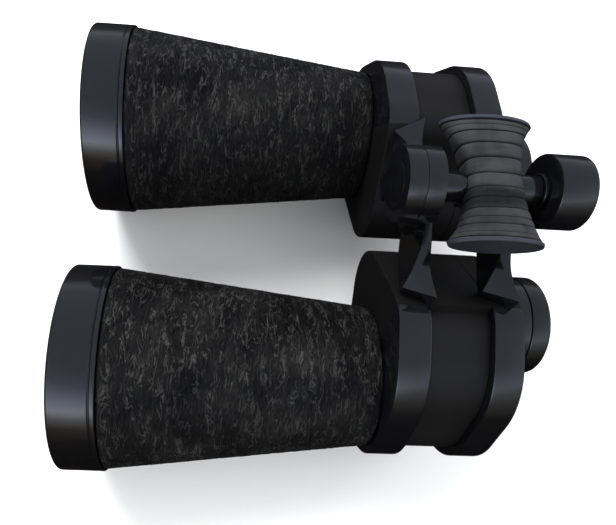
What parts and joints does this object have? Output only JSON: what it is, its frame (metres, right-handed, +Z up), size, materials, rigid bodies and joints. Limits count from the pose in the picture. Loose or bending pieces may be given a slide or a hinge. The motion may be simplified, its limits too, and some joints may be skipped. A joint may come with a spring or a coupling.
{
  "type": "binoculars",
  "caption": "Porro prism binoculars with leather-covered tapered barrels, lobed prism housings, individual-focus eyepieces, a folding hinge and a ribbed saddle grip.",
  "frame": {"origin": "middle of the underside of the bounding box, on the surface that the objective rims lie on", "axes": "+X towards the left barrel, +Y along the optical axes towards the eyepieces, +Z up towards the hinge"},
  "size_m": [0.1784, 0.172, 0.1097],
  "materials": {
    "enamel_gloss": "gloss black enamel",
    "enamel_matte": "matte black enamel",
    "leather": "grained black leather",
    "rubber": "matte grey ribbed rubber",
    "glass": "polished and coated",
    "steel": "turned",
    "aluminium": "blackened, matte",
    "brass": "turned",
    "eyecup_plastic": "polished black"
  },
  "bodies": {
    "right_half": {"objective_rim_right": "enamel_gloss", "objective_cell_right": "aluminium", "objective_crown_right": "glass", "objective_flint_right": "glass", "objective_tube_right": "aluminium", "barrel_cover_right": "leather", "front_plate_right": "enamel_gloss", "housing_right": "enamel_matte", "rear_plate_right": "enamel_gloss", "prism_shelf_right": "aluminium", "prism_rear_right": "glass", "prism_front_right": "glass", "prism_strap_rear_right": "steel", "prism_strap_front_right": "steel", "eyepiece_base_right": "brass", "front_arm_right": "enamel_gloss", "rear_arm_right": "enamel_gloss", "plate_screw_0_right": "steel", "plate_screw_1_right": "steel", "plate_screw_2_right": "steel", "hinge_pin": "steel", "front_sleeve": "enamel_gloss", "rear_sleeve": "enamel_gloss", "saddle_core": "aluminium", "saddle_grip": "rubber", "saddle_end_left": "enamel_gloss", "saddle_end_right": "enamel_gloss"},
    "left_half": {"objective_rim_left": "enamel_gloss", "objective_cell_left": "aluminium", "objective_crown_left": "glass", "objective_flint_left": "glass", "objective_tube_left": "aluminium", "barrel_cover_left": "leather", "front_plate_left": "enamel_gloss", "housing_left": "enamel_matte", "rear_plate_left": "enamel_gloss", "prism_shelf_left": "aluminium", "prism_rear_left": "glass", "prism_front_left": "glass", "prism_strap_rear_left": "steel", "prism_strap_front_left": "steel", "eyepiece_base_left": "brass", "front_arm_left": "enamel_gloss", "rear_arm_left": "enamel_gloss", "plate_screw_0_left": "steel", "plate_screw_1_left": "steel", "plate_screw_2_left": "steel"},
    "focus_ring_left": {"focus_ring_left": "enamel_gloss"},
    "focus_ring_right": {"focus_ring_right": "enamel_gloss"},
    "ocular_left": {"ocular_cell_left": "aluminium", "field_lens_left": "glass", "eye_lens_left": "glass", "eyecup_left": "eyecup_plastic"},
    "ocular_right": {"ocular_cell_right": "aluminium", "field_lens_right": "glass", "eye_lens_right": "glass", "eyecup_right": "eyecup_plastic"},
    "clamp_washer": {"clamp_washer": "steel"},
    "clamp_knob": {"clamp_knob": "enamel_gloss"}
  },
  "joints": [
    {"name": "fold", "type": "hinge", "parent": "right_half", "child": "left_half", "pos_m": [0, 0.034, 0.09795], "axis": [0, -1, 0], "range_deg": [-6, 14]},
    {"name": "focus_left", "type": "hinge", "parent": "left_half", "child": "focus_ring_left", "pos_m": [0.0309, 0.0655, 0.04585], "axis": [0, 1, 0], "range_deg": [0, 200]},
    {"name": "eyepiece_travel_left", "type": "slide", "parent": "left_half", "child": "ocular_left", "axis": [0, 1, 0], "range_m": [0, 0.004]},
    {"name": "focus_right", "type": "hinge", "parent": "right_half", "child": "focus_ring_right", "pos_m": [-0.0309, 0.0655, 0.04585], "axis": [0, 1, 0], "range_deg": [0, 200]},
    {"name": "eyepiece_travel_right", "type": "slide", "parent": "right_half", "child": "ocular_right", "axis": [0, 1, 0], "range_m": [0, 0.004]},
    {"name": "clamp_lift", "type": "slide", "parent": "right_half", "child": "clamp_washer", "axis": [0, 1, 0], "range_m": [0, 0.0005]},
    {"name": "clamp_turn", "type": "hinge", "parent": "clamp_washer", "child": "clamp_knob", "pos_m": [0, 0.069, 0.09795], "axis": [0, -1, 0], "range_deg": [0, 180]}
  ],
  "couplings": [
    {"joint": "focus_left", "follows": "eyepiece_travel_left", "rad_per_m": 872.6},
    {"joint": "focus_right", "follows": "eyepiece_travel_right", "rad_per_m": 872.6},
    {"joint": "clamp_turn", "follows": "clamp_lift", "rad_per_m": 6283}
  ]
}
